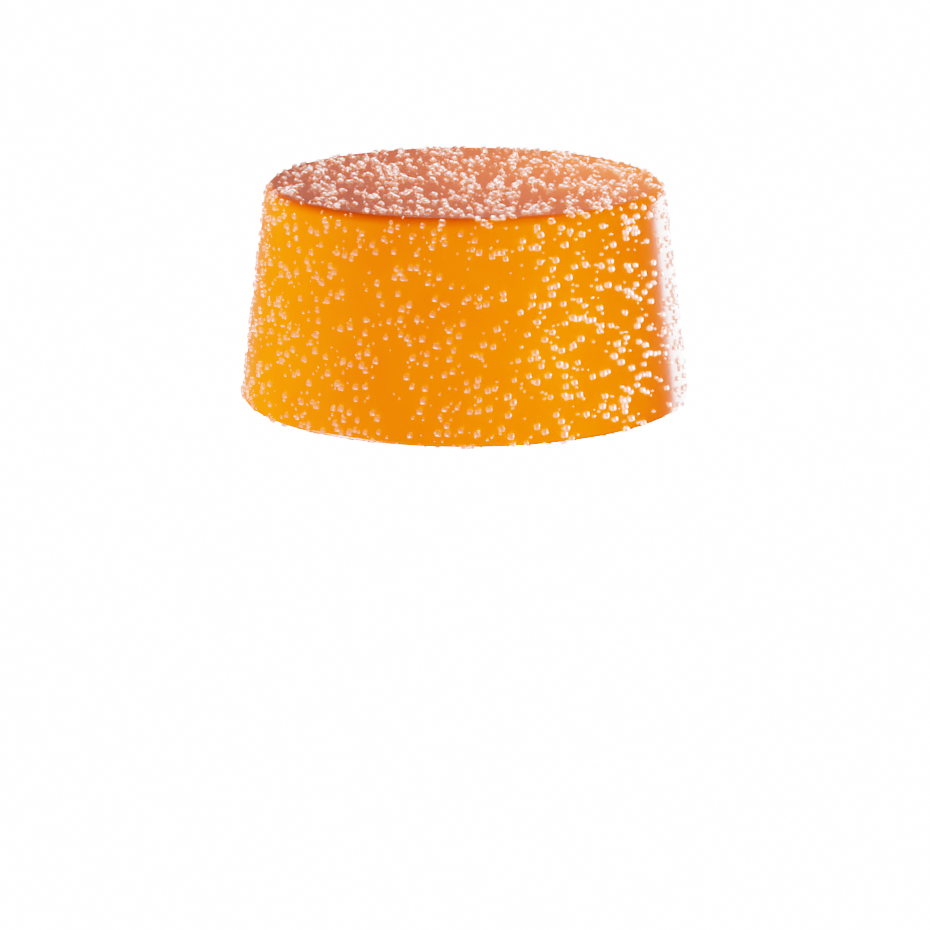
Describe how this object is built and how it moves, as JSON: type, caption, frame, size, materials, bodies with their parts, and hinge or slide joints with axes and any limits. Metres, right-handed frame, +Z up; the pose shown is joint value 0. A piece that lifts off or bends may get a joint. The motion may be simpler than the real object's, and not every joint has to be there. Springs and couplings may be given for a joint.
{
  "type": "sugared gummy",
  "caption": "Round fruit jelly sweet that narrows upwards, with flat top and foot, soft rims and coarse sugar grains stuck all over.",
  "frame": {"origin": "middle of the foot, at the height of the table that the sugar grains under the foot stand on", "axes": "+Z up from the foot to the flat top, along the axis that the round body is turned about; -Y towards the camera of the picture"},
  "size_m": [0.0224, 0.0223, 0.0111],
  "materials": {
    "jelly": "satin",
    "sugar": "satin"
  },
  "bodies": {
    "root": {"gummy": "jelly"}
  },
  "joints": []
}
